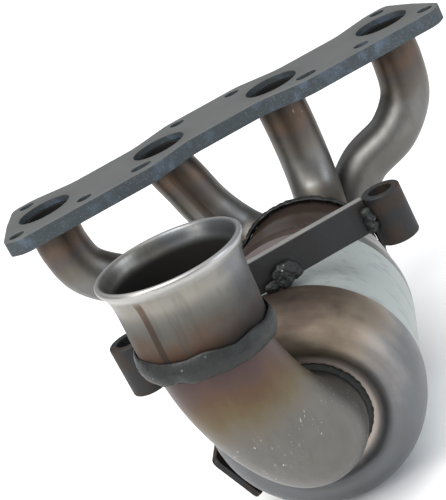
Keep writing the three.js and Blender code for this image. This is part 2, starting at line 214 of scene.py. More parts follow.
# %% A material with its patterns
class Finish(Shader):
    def __init__(self, name, metallic):
        self.material = bpy.data.materials.new(name)
        self.material.use_nodes = True
        super().__init__(self.material.node_tree)
        self.surface = self.tree.nodes["Principled BSDF"]
        self.surface.inputs["Metallic"].default_value = metallic
        self.place = self.node("ShaderNodeTexCoord", {}, {}, "Object")

    def seen_from(self, frame_matrix):
        """The place measured in a piece's own frame."""
        sockets = {
            "Location": frame_matrix.to_translation(),
            "Rotation": frame_matrix.to_euler(),
            "Vector": self.place,
        }
        return self.node("ShaderNodeMapping", {"vector_type": "TEXTURE"}, sockets)

    def joined(self, x, y, z):
        return self.node("ShaderNodeCombineXYZ", {}, {0: x, 1: y, 2: z})

    def stretched(self, vector, x, y, z):
        sockets = {0: vector, 1: (x, y, z)}
        return self.node("ShaderNodeVectorMath", {"operation": "MULTIPLY"}, sockets)

    def clouds(self, vector, size, detail=4.0, rough=0.55):
        """Smooth noise from 0 to 1 whose blotches are about size metres across."""
        sockets = {"Vector": vector, "Scale": 1 / size, "Detail": detail, "Roughness": rough}
        return self.node("ShaderNodeTexNoise", {}, sockets, "Fac")

    def cells(self, vector, size):
        """The distance from the nearest of many scattered dots, 0 at a dot's middle."""
        sockets = {"Vector": vector, "Scale": 1 / size}
        return self.node("ShaderNodeTexVoronoi", {}, sockets, "Distance")

    def step(self, value, low, high):
        """0 below low, 1 above high, and a smooth rise between them."""
        settings = {"interpolation_type": "SMOOTHSTEP"}
        sockets = {"Value": value, "From Min": low, "From Max": high}
        return self.node("ShaderNodeMapRange", settings, sockets)

    def give(self, colour, roughness, height, depth):
        """Link the finished patterns to the surface. Height 1 stands depth metres proud."""
        links = self.tree.links
        links.new(colour.socket, self.surface.inputs["Base Color"])
        links.new(roughness.socket, self.surface.inputs["Roughness"])
        sockets = {"Height": height, "Distance": depth, "Strength": 1.0}
        bump = self.node("ShaderNodeBump", {}, sockets)
        links.new(bump.socket, self.surface.inputs["Normal"])
        print("finish", self.material.name, "has", len(self.tree.nodes), "nodes")
        return self.material


# %% [markdown]
# ## Light
# Bare steel shows what is around it more than its own colour. So the room is not even: its
# ceiling is bright and its walls are dim, which gives every tube a light upper side and a dark
# flank, while the camera itself sees a plain white backdrop. A wide, soft sun lights the pale
# floor evenly, and three soft boxes add the long highlights.

# %% Make the room, the floor and the lights
CENTRE = Vector((-0.02, -0.12, -0.09))

bpy.context.scene.view_settings.view_transform = "Standard"
world = bpy.data.worlds.new("room")
world.use_nodes = True
bpy.context.scene.world = world
room = Shader(world.node_tree)
direction = room.node("ShaderNodeTexCoord", {}, {}, "Generated")
glow = room.ramp(0.5 + 0.5 * room.parts(direction)[2], [
    (0.0, (0.5, 0.5, 0.5)),
    (0.5, (0.3, 0.31, 0.33)),
    (0.68, (0.42, 0.44, 0.47)),
    (0.9, (1.0, 1.0, 1.0)),
])
to_camera = room.node("ShaderNodeLightPath", {}, {}, "Is Camera Ray")
shown = room.mix(to_camera, glow, (1, 1, 1))
world.node_tree.links.new(shown.socket, world.node_tree.nodes["Background"].inputs["Color"])

sun_data = bpy.data.lights.new("sun", "SUN")
sun_data.energy = 2.1
sun_data.angle = math.radians(70)
sun = placed("sun", sun_data)
sun.rotation_euler = (math.radians(25), math.radians(-20), 0)


def softbox(name, place, size, watts, colour):
    """A square area light that faces the middle of the object."""
    data = bpy.data.lights.new(name, "AREA")
    data.size = size
    data.energy = watts
    data.color = colour
    light = placed(name, data)
    light.location = place
    light.rotation_euler = (CENTRE - Vector(place)).to_track_quat("-Z", "Y").to_euler()


softbox("overhead", (-0.5, -0.6, 0.9), 0.5, 7, (1.0, 0.98, 0.95))
softbox("window", (1.1, -0.75, 0.25), 0.6, 5.5, (0.8, 0.88, 1.0))
softbox("left_fill", (-1.2, -0.7, 0.3), 0.4, 3.5, (1.0, 0.97, 0.93))

FLOOR_SIZE = 30
floor_mesh = bmesh.new()
bmesh.ops.create_grid(floor_mesh, x_segments=1, y_segments=1, size=FLOOR_SIZE)
bmesh.ops.translate(floor_mesh, vec=(0, 0, cad_box[0][2] - 0.0005), verts=floor_mesh.verts)
floor = placed("floor", meshed("floor", floor_mesh))

# %% [markdown]
# ## The floor's finish
# A studio floor is matt paper with hardly any pattern. A faint, wide mottling is enough to keep
# it from looking like an empty background.

# %% Paper for the floor
paper = Finish("pale_paper", metallic=0.0)
mottle = paper.clouds(paper.place, 0.4)
paper_colour = paper.mix(mottle, (0.9, 0.9, 0.9), (0.94, 0.94, 0.94))
floor.data.materials.append(paper.give(paper_colour, 0.85 + 0.1 * mottle, mottle, 0.0002))

# %% [markdown]
# ## Where the big pieces are
# The frame gives a box around each CAD node. The can is a drum that lies level and is turned 20
# degrees away from straight back, so its box, its turn and a little geometry give its radius,
# its length and the middle of its front seam. The same turn gives a frame in which every turned
# piece of the can is plain: local Z along the can towards the outlet, local X to the left.

# %% Measure the can and the plate
CAN_TURN = math.radians(20)
shell_low, shell_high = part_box("converter_shell")
shell_size = shell_high - shell_low
CAN_RADIUS = shell_size.z / 2
CAN_LENGTH = (shell_size.y - 2 * CAN_RADIUS * math.sin(CAN_TURN)) / math.cos(CAN_TURN)
can_axis = Vector((-math.sin(CAN_TURN), -math.cos(CAN_TURN), 0))
can_side = Vector((-math.cos(CAN_TURN), math.sin(CAN_TURN), 0))
can_seam = (shell_low + shell_high) / 2 + can_axis * CAN_LENGTH / 2
can_frame = Matrix((can_side, (0, 0, -1), can_axis)).transposed().to_4x4()
can_frame.translation = can_seam
flange_low, flange_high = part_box("head_flange")
PLATE_THICK = flange_high.z - flange_low.z
PORT_PITCH = 86 * MM
PORTS = [n * PORT_PITCH for n in (-1.5, -0.5, 0.5, 1.5)]
print("can radius and length:", round(CAN_RADIUS, 4), round(CAN_LENGTH, 4))
print("front seam:", [round(value, 4) for value in can_seam])


def mm(*values):
    """A point or a direction given in millimetres."""
    return Vector(values) * MM


def in_can(side, down, along):
    """A point given in millimetres in the can's own frame."""
    return can_frame @ mm(side, down, along)


# %% [markdown]
# ## Three ways to make a piece
# Nearly everything here is one of three things. A turned piece is an outline spun about an axis.
# A drawn tube is a circle whose rim is extruded along a path, out along the outside and back
# along the inside, so that it has a real wall. A plate is an outline with holes, filled and
# extruded. Corners are rounded on the outline, before it is spun, which is exact and cheap.

# %% Finish a piece
def finished(name, bm, material, slot, *nodes, sharp=38, flat=False):
    """Make a smooth-shaded object that rides on the root body and stands for its CAD nodes.
    A flat piece gets normals weighted by area, so that its small edge rounds don't bend them."""
    mesh = meshed(name, bm)
    mesh.shade_smooth()
    mesh.set_sharp_from_angle(angle=math.radians(sharp))
    mesh.materials.append(material)
    made = placed(name, mesh)
    if flat:
        made.modifiers.new("flat_shading", "WEIGHTED_NORMAL").keep_sharp = True
    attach(made, "root")
    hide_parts(*nodes)
    print(name, "has", len(mesh.polygons), "faces")
    return made


# %% Spin an outline
def round_off(bm, corners, width, segments):
    """Round the corners of an outline."""
    bmesh.ops.bevel(bm, geom=corners, offset=width, affect="VERTICES", segments=segments,
                    profile=0.5, material=-1)


def turned(outline, place, steps=120):
    """A solid from a closed outline of radius, height and an optional rounding, in metres."""
    bm = bmesh.new()
    corners = [bm.verts.new((corner[0], 0, corner[1])) for corner in outline]
    bm.faces.new(corners)
    for vertex, corner in zip(corners, outline):
        if len(corner) > 2:
            round_off(bm, [vertex], corner[2], 4)
    bmesh.ops.delete(bm, geom=bm.faces[:], context="FACES_ONLY")
    bmesh.ops.spin(bm, geom=bm.verts[:] + bm.edges[:], cent=(0, 0, 0), axis=(0, 0, 1),
                   angle=2 * math.pi, steps=steps, use_merge=True)
    bmesh.ops.remove_doubles(bm, verts=bm.verts, dist=1e-6)
    bmesh.ops.recalc_face_normals(bm, faces=bm.faces)
    bmesh.ops.transform(bm, matrix=place, verts=bm.verts)
    return bm


def in_metres(outline):
    """An outline whose radii, heights and roundings were given in millimetres."""
    return [tuple(part * MM for part in corner) for corner in outline]


def walled(outside, thickness):
    """Close an outside outline, which runs upwards, with its copy set in by a wall's thickness."""
    inside = []
    last = len(outside) - 1
    for i, point in enumerate(outside):
        ahead = Vector(outside[min(i + 1, last)][:2])
        behind = Vector(outside[max(i - 1, 0)][:2])
        run = (ahead - behind).normalized()
        inside.append((point[0] - run.y * thickness, point[1] + run.x * thickness))
    return list(outside) + inside[::-1]


# %% Smooth curves and evenly spaced points
def even(points, count):
    """Points at equal distances along a chain of points."""
    spans = [(b - a).length for a, b in zip(points, points[1:])]
    gap = sum(spans) / (count - 1)
    spots = [points[0]]
    walked = 0
    for a, b, span in zip(points, points[1:], spans):
        while len(spots) < count - 1 and gap * len(spots) <= walked + span:
            spots.append(a.lerp(b, (gap * len(spots) - walked) / span))
        walked += span
    return spots + [points[-1]]


def through(points, fine=50):
    """A centripetal Catmull-Rom curve through the points, as many small steps."""
    ends = [2 * points[0] - points[1], *points, 2 * points[-1] - points[-2]]
    curve = []
    for four in zip(ends, ends[1:], ends[2:], ends[3:]):
        knots = [0]
        for a, b in zip(four, four[1:]):
            knots.append(knots[-1] + math.sqrt((b - a).length))
        for step in range(fine):
            knot = knots[1] + (knots[2] - knots[1]) * step / fine
            layer = list(four)
            for pairs in (((0, 1), (1, 2), (2, 3)), ((0, 2), (1, 3)), ((1, 2),)):
                layer = [
                    layer[i].lerp(layer[i + 1], (knot - knots[low]) / (knots[high] - knots[low]))
                    for i, (low, high) in enumerate(pairs)
                ]
            curve.append(layer[0])
    return curve + [points[-1]]


def smoothed(outline, fine, count):
    """An even, smooth outline in metres through points given in millimetres."""
    curve = even(through([mm(r, 0, h) for r, h in outline], fine), count)
    return [(point.x, point.z) for point in curve]


# %% Draw a tube along a path
def sections(path, radius):
    """A frame at each point, which turns with the path and never twists about it."""
    heading = (path[1] - path[0]).normalized()
    turn = Vector((0, 0, 1)).rotation_difference(heading)
    frames = []
    last = len(path) - 1
    for i, point in enumerate(path):
        ahead = (path[min(i + 1, last)] - path[max(i - 1, 0)]).normalized()
        turn = heading.rotation_difference(ahead) @ turn
        heading = ahead
        frames.append(Matrix.LocRotScale(point, turn, Vector((radius, radius, radius))))
    return frames


def drawn(path, radius, wall, seam_angle, sides=72):
    """A tube with a real wall. Its attribute for painted shade is 1 on the inside, and its away
    attribute grows from 0 on the tube's own seam to 2 on the far side."""
    outer = sections(path, radius)
    stops = outer + sections(path, radius - wall)[::-1]
    bm = bmesh.new()
    soot = bm.verts.layers.float.new("soot")
    away = bm.verts.layers.float.new("away")
    seam = Vector((math.cos(seam_angle), math.sin(seam_angle), 0))
    ring = bmesh.ops.create_circle(bm, cap_ends=False, radius=1, segments=sides, matrix=stops[0])
    rim = list({edge for vertex in ring["verts"] for edge in vertex.link_edges})
    for vertex in ring["verts"]:
        vertex[away] = 1 - seam.dot(stops[0].inverted() @ vertex.co)
    first = rim
    for here, there in zip(stops, stops[1:]):
        grown = bmesh.ops.extrude_edge_only(bm, edges=rim)["geom"]
        moved = only(grown, BMVert)
        rim = only(grown, BMEdge)
        bmesh.ops.transform(bm, matrix=there @ here.inverted(), verts=moved)
        for vertex in moved:
            vertex[away] = 1 - seam.dot(there.inverted() @ vertex.co)
            vertex[soot] = float(there not in outer)
    bmesh.ops.bridge_loops(bm, edges=first + rim)
    bmesh.ops.recalc_face_normals(bm, faces=bm.faces)
    return bm


# %% Fill an outline with holes and give it thickness
def region(faces):
    """The faces with their own edges and corners, as an extrusion needs them."""
    edges = {edge for face in faces for edge in face.edges}
    verts = {vertex for face in faces for vertex in face.verts}
    return list(faces) + list(edges) + list(verts)


def sink(bm, faces, depth):
    """Extrude the faces straight down."""
    grown = bmesh.ops.extrude_face_region(bm, geom=region(faces))["geom"]
    bmesh.ops.translate(bm, vec=(0, 0, -depth), verts=only(grown, BMVert))


def hole(bm, x, y, radius, slot=0.0, segments=48):
    """A round hole's rim, or a slot's if its halves are moved apart along X."""
    place = Matrix.Translation((x, y, 0))
    ring = bmesh.ops.create_circle(bm, cap_ends=False, radius=radius, segments=segments,
                                   matrix=place)["verts"]
    for side in (-1, 1):
        half = [vertex for vertex in ring if (vertex.co.x - x) * side > radius * 0.01]
        bmesh.ops.translate(bm, vec=(side * slot, 0, 0), verts=half)


def soften(bm, width, limit=50, segments=2):
    """Round every edge that is sharper than the limit, in degrees."""
    edges = [e for e in bm.edges if e.is_manifold and e.calc_face_angle() > math.radians(limit)]
    bmesh.ops.bevel(bm, geom=edges, offset=width, affect="EDGES", segments=segments,
                    profile=0.5, material=-1, clamp_overlap=True)


def eased(bm, width):
    """Merge the fill's triangles into flat faces and round the edges of a plate."""
    bmesh.ops.recalc_face_normals(bm, faces=bm.faces)
    bmesh.ops.dissolve_limit(bm, angle_limit=math.radians(1), verts=bm.verts, edges=bm.edges)
    soften(bm, width)


# %% Roughen weld metal
def lumpy(bm, height, size, seed):
    """Push each corner along its normal by smooth noise, as molten metal freezes unevenly."""
    bm.normal_update()
    for vertex in bm.verts:
        spot = vertex.co / size + Vector((seed, 0, 0))
        vertex.co += vertex.normal * height * noise.fractal(spot, 1.0, 2.0, 3)


# %% [markdown]
# ## Finishes
# ### The flange's two skins
# The plate is cut from thick rolled steel. Its face is ground flat for the gasket, so it is an
# even, matt grey with faint lines from the wheel. The edges keep a blue-grey scale from the
# cutting flame, with paler patches. Height alone tells the two apart, because the face is at zero.

# %% Ground face and flame-cut edge
plate = Finish("ground_plate", metallic=0.55)
px, py, pz = plate.parts(plate.place)
grind = plate.clouds(plate.stretched(plate.place, 0.06, 1, 1), 0.0005, 3)
cloud = plate.clouds(plate.place, 0.03)
grit = plate.clouds(plate.place, 0.0012, 2)
on_face = plate.step(pz, -0.0009, -0.0002)
to_port = abs(abs(px) - PORT_PITCH) - PORT_PITCH / 2
from_port = (to_port * to_port + py * py) ** 0.5
stain = plate.step(from_port, 0.028, 0.019) * plate.clouds(plate.place, 0.012)
face = plate.layers((0.085, 0.09, 0.088), (cloud, (0.125, 0.13, 0.127)),
                    (0.35 * grind, (0.17, 0.175, 0.17)), (0.6 * stain, (0.07, 0.062, 0.052)))
patch = plate.step(plate.clouds(plate.place, 0.02, 3), 0.5, 0.68)
edge = plate.layers((0.035, 0.045, 0.05), (cloud, (0.06, 0.072, 0.08)),
                    (0.6 * patch, (0.1, 0.14, 0.2)),
                    (0.3 * plate.step(grit, 0.55, 0.7), (0.2, 0.21, 0.22)))
plate_colour = plate.mix(on_face, edge, face)
plate_rough = 0.62 - 0.14 * on_face + 0.12 * (cloud - 0.5) + 0.08 * grit
plate_finish = plate.give(plate_colour, plate_rough, 0.5 * grit + 0.5 * grind, 0.00008)

# %% [markdown]
# ### Bent tube with heat tint
# Stainless tube is satin grey. Beside a weld the heat leaves oxide in bands: nearly black, then
# brown, purple and straw. The bands follow the distance from the weld, so a ramp paints them,
# shaken by noise so that no band is a clean ring. Along each tube runs the brown line of its own
# seam, which reads the away attribute that the tube was drawn with, and clusters of small bright
# scratches are scattered where each piece asks for them. On its right side the collector is given
# the shell's pale colour. That is a choice of looks, which evens out a seam whose shape is only
# roughly known, and not a finish that such a cone would have.

# %% Tube steel
# Painted shade: the near-black that stands in for the shade inside the tubes and the cup.
INSIDE_SHADE = (0.022, 0.021, 0.02)
PLATE_BANDS = [
    (0.0, (0.025, 0.023, 0.021)), (0.15, (0.05, 0.036, 0.027)), (0.3, (0.09, 0.06, 0.043)),
    (0.46, (0.075, 0.064, 0.06)), (0.62, (0.1, 0.088, 0.072)), (0.9, (0.13, 0.122, 0.108)),
]
CUP_BANDS = [
    (0.0, (0.048, 0.032, 0.031)), (0.24, (0.07, 0.045, 0.04)), (0.4, (0.085, 0.052, 0.032)),
    (0.58, (0.1, 0.076, 0.042)), (0.85, (0.125, 0.11, 0.085)),
]
CONE_BANDS = [
    (0.0, (0.06, 0.05, 0.053)), (0.3, (0.12, 0.095, 0.1)), (0.5, (0.17, 0.12, 0.095)),
    (0.75, (0.2, 0.175, 0.165)),
]


def tube_steel(name, heat, bands, tone, scratched, pale=None):
    """Satin tube whose heat value runs from 0 at a weld to 1 on plain steel."""
    tube = Finish(name, metallic=0.85)
    x, y, z = tube.parts(tube.place)
    cloud = tube.clouds(tube.place, 0.022)
    wisp = tube.clouds(tube.stretched(tube.place, 1, 1, 0.22), 0.004, 5)
    grain = tube.clouds(tube.stretched(tube.place, 1, 1, 0.1), 0.0009, 3)
    nick = tube.clouds(tube.stretched(tube.place, 1, 0.5, 0.5), 0.0016, 4, 0.7)
    cluster = tube.step(tube.clouds(tube.place, 0.02, 2), 0.47, 0.57)
    speck = tube.step(nick, 0.61, 0.69) * cluster * scratched(tube, x, y, z)
    steel = tube.mix(cloud, tone, tuple(0.66 * part for part in tone))
    steel = tube.mix(0.4 * tube.step(wisp, 0.45, 0.7), steel, (0.11, 0.095, 0.078))
    warmth = heat(tube, x, y, z) + 0.45 * (cloud - 0.5) + 0.22 * (wisp - 0.5)
    tinted = 1 - tube.step(warmth, 0.6, 1.0)
    colour = tube.mix(0.95 * tinted, steel, tube.ramp(warmth, bands))
    if pale:
        colour = tube.mix(pale(tube), colour, (0.37, 0.4, 0.385))
    away = tube.node("ShaderNodeAttribute", {"attribute_name": "away"}, {}, "Fac")
    seam = tube.step(away + 0.006 * (wisp - 0.5), 0.02, 0.009)
    colour = tube.mix(0.6 * seam, colour, (0.055, 0.036, 0.026))
    colour = tube.mix(0.6 * speck, colour, (0.7, 0.67, 0.6))
    # The inside of each tube is painted near-black, as painted shade.
    inside = tube.node("ShaderNodeAttribute", {"attribute_name": "soot"}, {}, "Fac")
    colour = tube.mix(inside, colour, INSIDE_SHADE)
    rough = 0.3 + 0.14 * wisp + 0.1 * grain + 0.4 * inside
    height = 0.5 * grain + 0.25 * wisp + 0.6 * speck - 0.25 * seam
    return tube.give(colour, rough, height, 0.00009)


def runner_heat(tube, x, y, z):
    """Hottest at the flange, and again where the tubes enter the collector."""
    from_flange = (-1 * z - PLATE_THICK) / 0.05
    low_down = tube.step(z, -0.05, -0.075)
    from_disc = 0.3 + (y + 0.05) / 0.07
    return tube.node("ShaderNodeMath", {"operation": "MINIMUM"},
                     {0: from_flange + 2 * low_down, 1: from_disc + 2 * (1 - low_down)})


def elbow_heat(tube, x, y, z):
    """Hottest under the cup's weld: purple-brown, then gold, then plain steel."""
    return (-0.046 - z) / 0.056


def collector_heat(tube, x, y, z):
    """Tinted nearly all over, and darkest at both welded ends."""
    side, down, along = tube.parts(tube.seen_from(can_frame))
    return 0.62 - 9 * abs(along + 0.115)


def like_the_shell(tube):
    """The cone's right side, which bulges past the shell and would show as a dark band."""
    side, down, along = tube.parts(tube.seen_from(can_frame))
    return tube.step(side, -0.034, -0.04) * tube.step(along, -0.13, -0.115)


def few(tube, x, y, z):
    """Hardly any scratches."""
    return tube.step(tube.clouds(tube.place, 0.04, 1), 0.55, 0.62) * 0.6


def at_the_bend(tube, x, y, z):
    """Scratches low on the outside of the elbow's bend."""
    return tube.step(z, -0.085, -0.1)


runner_steel = tube_steel("runner_steel", runner_heat, PLATE_BANDS, (0.165, 0.162, 0.155), few)
elbow_steel = tube_steel("elbow_steel", elbow_heat, CUP_BANDS, (0.14, 0.135, 0.124), at_the_bend)
collector_steel = tube_steel("collector_steel", collector_heat, CONE_BANDS, (0.23, 0.205, 0.2),
                             few, like_the_shell)

# %% [markdown]
# ### The can's dull sheet and the pressed end cap
# The can's middle is light sheet that has gone dull and slightly green, with grey runs. For the
# same reason as above, a patch on its upper left takes the collector's brown. The end cap has very
# fine circles round its axis. Both read places in the can's own frame, where a circle round the
# axis is simply a radius, and heat from the bracket's weld browns the cap's upper side.

# %% Dull sheet for the shell
sheet = Finish("dull_sheet", metallic=0.45)
side, down, along = sheet.parts(sheet.seen_from(can_frame))
cloud = sheet.clouds(sheet.place, 0.03, 5)
runs = sheet.clouds(sheet.joined(side, down * 0.1, along), 0.006, 3)
scuff = sheet.step(sheet.clouds(sheet.stretched(sheet.place, 1, 0.3, 1), 0.002, 4), 0.6, 0.75)
like_the_cone = sheet.step(along - 0.42 * side + 0.02 * (cloud - 0.5), -0.068, -0.077)
like_the_cone = like_the_cone * sheet.step(down + 0.02 * (cloud - 0.5), -0.015, -0.038)
near_seam = sheet.step(along, -0.012, -0.001)
shell_colour = sheet.layers(
    (0.29, 0.322, 0.31), (cloud, (0.37, 0.395, 0.385)),
    (0.4 * sheet.step(runs, 0.52, 0.66), (0.22, 0.235, 0.23)),
    (0.9 * like_the_cone, (0.12, 0.09, 0.088)), (0.45 * near_seam, (0.15, 0.15, 0.135)),
    (0.12 * scuff, (0.55, 0.57, 0.56)))
shell_rough = 0.44 + 0.2 * cloud + 0.08 * runs
shell_finish = sheet.give(shell_colour, shell_rough, cloud + 0.4 * scuff, 0.00012)

# %% Spun steel for the end cap
strap_low, strap_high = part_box("support_strap")
weld_low, weld_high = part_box("strap_weld")
hot_spot = (weld_low + weld_high) / 2

spun = Finish("spun_cap", metallic=0.85)
side, down, along = spun.parts(spun.seen_from(can_frame))
radius = (side * side + down * down) ** 0.5
rings = spun.clouds(spun.joined(radius, along, side * 0.03), 0.0007, 3)
arcs = spun.clouds(spun.joined(radius, along * 0.6, side * 0.22 + down * 0.1), 0.004, 4)
cloud = spun.clouds(spun.place, 0.028, 4)
x, y, z = spun.parts(spun.place)
dx = x - hot_spot.x
dz = z - hot_spot.z
far = (dx * dx + dz * dz) ** 0.5
warm = far / 0.085 + 0.7 * (cloud - 0.5) + 0.25 * (arcs - 0.5)
cap_steel = spun.mix(cloud, (0.15, 0.157, 0.168), (0.105, 0.11, 0.112))
cap_steel = spun.mix(0.25 * spun.step(arcs, 0.45, 0.65), cap_steel, (0.12, 0.105, 0.095))
tint = spun.ramp(warm, [
    (0.0, (0.06, 0.04, 0.032)),
    (0.18, (0.12, 0.085, 0.062)),
    (0.42, (0.25, 0.2, 0.145)),
    (0.62, (0.27, 0.235, 0.2)),
    (0.9, (0.21, 0.205, 0.21)),
])
cap_colour = spun.mix(0.9 * (1 - spun.step(warm, 0.5, 1.0)), cap_steel, tint)
# Painted light: the valley round the elbow is painted pale to lift the shade that its deep groove
# gets.
valley_painted_light = spun.step(radius, 0.04, 0.034) * spun.step(along, 0.02, 0.028)
cap_colour = spun.mix(0.8 * valley_painted_light, cap_colour, (0.5, 0.43, 0.38))
cap_rough = 0.38 + 0.12 * cloud + 0.1 * rings
cap_finish = spun.give(cap_colour, cap_rough, 0.5 * rings + 0.4 * arcs, 0.00009)

# %% [markdown]
# ### Weld metal and black scale
# A bead of weld is dark and glassy, and its small bright spots, which are also glossier, are
# painted glints, a painted highlight. The bar, its bosses and the side bracket still wear the
# black scale of the rolling mill, which turns brown in patches and wears through to grey along the
# bar's upper edge.

# %% Weld metal
weld = Finish("weld_metal", metallic=0.7)
lump = weld.clouds(weld.place, 0.006, 5)
fine = weld.clouds(weld.place, 0.0011, 3)
# Painted highlight: near-white glints are painted onto scattered dots of the weld.
glint_dots = weld.step(weld.cells(weld.place, 0.0045), 0.2, 0.06)
painted_glint = glint_dots * weld.step(weld.clouds(weld.place, 0.011, 2), 0.53, 0.66)
weld_colour = weld.mix(lump, (0.013, 0.016, 0.016), (0.034, 0.037, 0.036))
weld_colour = weld.mix(weld.step(fine, 0.52, 0.7) * 0.5, weld_colour, (0.05, 0.04, 0.03))
weld_colour = weld.mix(0.7 * painted_glint, weld_colour, (0.6, 0.59, 0.57))
weld_rough = 0.5 - 0.22 * painted_glint + 0.14 * (lump - 0.5)
weld_finish = weld.give(weld_colour, weld_rough, lump + 0.3 * fine + 0.5 * painted_glint, 0.0005)

# %% Black mill scale
scale = Finish("mill_scale", metallic=0.35)
cloud = scale.clouds(scale.place, 0.02, 4)
fine = scale.clouds(scale.place, 0.0012, 3)
brown = scale.step(scale.clouds(scale.place, 0.014, 4), 0.42, 0.6)
bar_middle = (strap_low.x + strap_high.x) / 2
x, y, z = scale.parts(scale.place)
on_bar = 1 - scale.step(abs(x - bar_middle), 0.055, 0.075)
worn = scale.step(z, strap_high.z - 0.0012, strap_high.z - 0.0002) * (0.5 + 0.5 * cloud)
scale_colour = scale.layers(
    (0.006, 0.007, 0.008), (cloud, (0.013, 0.014, 0.015)), (0.75 * brown, (0.026, 0.015, 0.009)),
    (on_bar, (0.009, 0.0105, 0.0115)), (0.25 * brown, (0.026, 0.015, 0.009)),
    (0.7 * worn, (0.33, 0.33, 0.32)), (0.12 * scale.step(fine, 0.6, 0.72), (0.1, 0.09, 0.08)))
scale_rough = 0.46 + 0.22 * cloud + 0.1 * brown
scale_finish = scale.give(scale_colour, scale_rough, 0.6 * fine + 0.5 * brown, 0.00012)

# %% [markdown]
# ## The head flange
# The plate's front edge is set back in the middle, and its back edge runs out into lugs for the
# studs. The outline is one face whose corners are each rounded by their own amount. The rims of
# the holes are added as circles, triangle fill closes the area between them, and two extrusions
# give the thickness: a step inside each port is where the end of its tube sits.

# %% Cut out the flange
PORT_RADIUS = 18.5 * MM
PORT_STEP = 4.5 * MM
TUBE_RADIUS = 16.85 * MM
SEAT_RADIUS = TUBE_RADIUS + 0.3 * MM
STUD_RADIUS = 5.25 * MM
SLOT_HALF = 2 * MM
FRONT_STUDS = [(61.6, SLOT_HALF), (103.2, 0), (152.2, 0)]
BACK_STUDS = [21.5, 138.2]
FRONT_ROW = -25.6 * MM
BACK_ROW = 30.6 * MM
HALF_OUTLINE = [
    (28, -25, 4.5), (56, -38, 4.5), (153, -38, 5), (162, -28, 3), (156, 8, 4),
    (148, 39, 5), (132, 39, 5), (104, 27.5, 5), (56, 28, 5), (28, 41, 4),
]

bm = bmesh.new()
outline = HALF_OUTLINE + [(-x, y, rounding) for x, y, rounding in HALF_OUTLINE[::-1]]
corners = [bm.verts.new(mm(x, y, 0)) for x, y, rounding in outline]
bm.faces.new(corners)
for vertex, (x, y, rounding) in zip(corners, outline):
    round_off(bm, [vertex], rounding * MM, 5)
bmesh.ops.delete(bm, geom=bm.faces[:], context="FACES_ONLY")
for port in PORTS:
    hole(bm, port, 0, PORT_RADIUS, segments=96)
for side in (-1, 1):
    for x, slot in FRONT_STUDS:
        hole(bm, side * x * MM, FRONT_ROW, STUD_RADIUS, slot)
    for x in BACK_STUDS:
        hole(bm, side * x * MM, BACK_ROW, STUD_RADIUS)
bmesh.ops.triangle_fill(bm, use_beauty=True, edges=bm.edges[:], normal=(0, 0, 1))
sink(bm, bm.faces[:], PORT_STEP)
for port in PORTS:
    middle = Vector((port, 0, -PORT_STEP))
    rim = [e for e in bm.edges
           if all(abs((v.co - middle).length - PORT_RADIUS) < 0.01 * MM for v in e.verts)]
    moved = only(bmesh.ops.extrude_edge_only(bm, edges=rim)["geom"], BMVert)
    share = SEAT_RADIUS / PORT_RADIUS
    bmesh.ops.scale(bm, vec=(share, share, 1), space=Matrix.Translation(-middle), verts=moved)
level = [f for f in bm.faces if all(abs(v.co.z + PORT_STEP) < 0.01 * MM for v in f.verts)]
sink(bm, level, PLATE_THICK - PORT_STEP)
eased(bm, 0.5 * MM)
finished("flange_plate", bm, plate_finish, "flange_plate", "head_flange", sharp=70, flat=True)

# %% [markdown]
# ## The four runners
# Each tube leaves its port square, bends, and ends square in the collector. Its route goes
# smoothly through the same points that the CAD tube follows. The inner pair drops almost
# straight, while the outer pair sweeps in under the plate.

# %% Draw the runners
CLUSTER_HALF = 18.2
INLET = Vector((-6, -16.5, -140))
STRAIGHT = 12
TUBE_WALL = 2 * MM
RUNNER_SEAM = math.radians(-75)
ROUTES = [
    (-1, -1, [(-129, 0, -30), (-124, 0, -50), (-102, 2, -72), (-66, 10, -96), (-34, 13, -120),
              (-12, 3, -131)]),
    (-1, 1, [(-38, 0, -32), (-31, 1, -56), (-19, -1, -80)]),
    (1, 1, [(43, 0, -34), (42, 0, -58), (38, -8, -80)]),
    (1, -1, [(129, 0, -28), (124, 0, -52), (106, 0, -71), (78, 6, -84), (52, 9, -112),
             (37, -7, -129)]),
]


def seat(side, level, back):
    """The middle of a tube's seat in the collector, or a point that many millimetres before it."""
    return in_can(INLET.x - side * CLUSTER_HALF, INLET.y - level * CLUSTER_HALF, INLET.z - back)


for number, (port, (side, level, way)) in enumerate(zip(PORTS, ROUTES), start=1):
    route = [Vector((port, 0, -PORT_STEP)), Vector((port, 0, -PLATE_THICK - 3 * MM))]
    route += [mm(*point) for point in way]
    route += [seat(side, level, STRAIGHT), seat(side, level, -1)]
    path = even(through(route), 110)
    bm = drawn(path, TUBE_RADIUS, TUBE_WALL, RUNNER_SEAM)
    finished(f"runner_tube_{number}", bm, runner_steel, "tube_steel", f"runner_{number}")

# %% [markdown]
# ## Beads round the tubes and the elbow
# A fillet weld is a ring with a sloping, rounded face and a ripple for every dab of the torch.
# Spinning a small outline gives the ring, a wave round the axis gives the ripples, and noise
# takes the neatness away.

